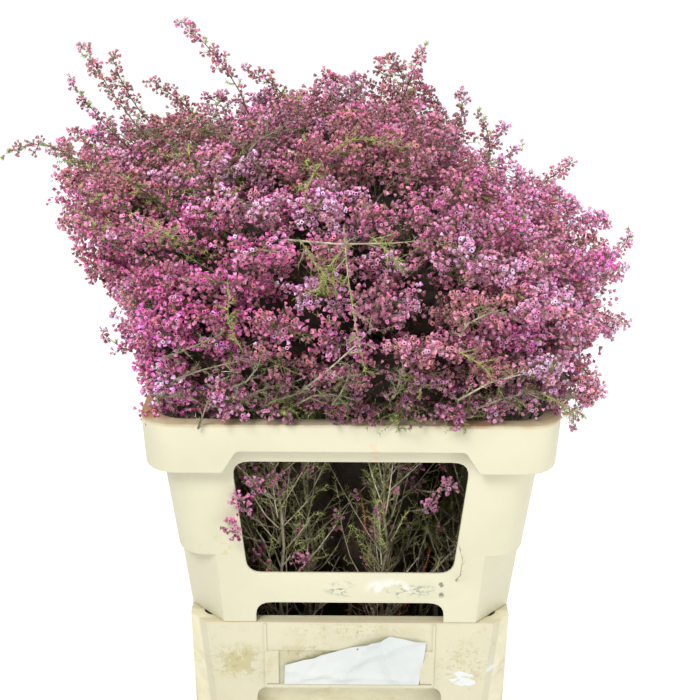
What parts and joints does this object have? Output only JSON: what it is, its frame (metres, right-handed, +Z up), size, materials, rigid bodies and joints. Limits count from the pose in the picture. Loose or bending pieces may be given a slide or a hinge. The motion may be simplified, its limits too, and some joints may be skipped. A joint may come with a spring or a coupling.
{
  "type": "cut heather in a transport tub",
  "caption": "Bush of cut pink heather standing in water in a rectangular cream plastic tub, held together by an open flared collar with a window that stands on the tub's rim",
  "frame": {"origin": "centre of the tub's flat underside, on the surface it stands on", "axes": "+Z up, -Y the short side with the paper slip, which faces the viewer, +X to the viewer's right"},
  "size_m": [0.593, 0.5853, 0.752],
  "materials": {
    "plastic": "moulded cream plastic, lightly scuffed and stained",
    "water": "still cloudy water",
    "paper": "blank matt paper",
    "stem": "thin brown wood with green needles",
    "floret": "matt petals, pink to lilac with dark centres"
  },
  "bodies": {
    "root": {"tub": "plastic", "collar_front": "plastic", "collar_back": "plastic", "water": "water", "paper_slip": "paper", "stem_01": "stem", "bloom_01": "floret", "stem_02": "stem", "bloom_02": "floret", "stem_03": "stem", "bloom_03": "floret", "stem_04": "stem", "bloom_04": "floret", "stem_05": "stem", "bloom_05": "floret", "stem_06": "stem", "bloom_06": "floret", "stem_07": "stem", "bloom_07": "floret", "stem_08": "stem", "bloom_08": "floret", "stem_09": "stem", "bloom_09": "floret", "stem_10": "stem", "bloom_10": "floret", "stem_11": "stem", "bloom_11": "floret", "stem_12": "stem", "bloom_12": "floret", "stem_13": "stem", "bloom_13": "floret", "stem_14": "stem", "bloom_14": "floret", "stem_15": "stem", "bloom_15": "floret", "stem_16": "stem", "bloom_16": "floret", "stem_17": "stem", "bloom_17": "floret", "stem_18": "stem", "bloom_18": "floret", "stem_19": "stem", "bloom_19": "floret", "stem_20": "stem", "bloom_20": "floret", "stem_21": "stem", "bloom_21": "floret", "stem_22": "stem", "bloom_22": "floret", "stem_23": "stem", "bloom_23": "floret", "stem_24": "stem", "bloom_24": "floret", "stem_25": "stem", "bloom_25": "floret", "stem_26": "stem", "bloom_26": "floret", "stem_27": "stem", "bloom_27": "floret"}
  },
  "joints": []
}
